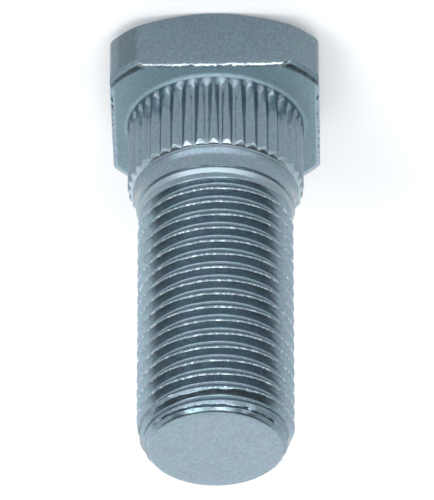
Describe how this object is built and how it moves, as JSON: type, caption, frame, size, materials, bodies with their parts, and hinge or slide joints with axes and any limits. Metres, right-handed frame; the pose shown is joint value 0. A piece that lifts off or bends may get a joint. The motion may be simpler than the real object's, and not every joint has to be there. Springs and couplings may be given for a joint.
{
  "type": "wheel bolt",
  "caption": "Pressed-in wheel bolt: square forged head with rounded corners, splined collar, short cone and right-hand fine thread with a chamfered tip, in bright zinc plate.",
  "frame": {"origin": "centre of the outer face of the head, on which the bolt stands", "axes": "+Z along the shank, from the head to the tip; +X and +Y square to two neighbouring flats of the head"},
  "size_m": [0.0168, 0.0168, 0.0366],
  "materials": {
    "bright_zinc": "satin bright zinc plate with a pale blue passivation, over forged steel"
  },
  "bodies": {
    "root": {"wheel_bolt": "bright_zinc"}
  },
  "joints": []
}
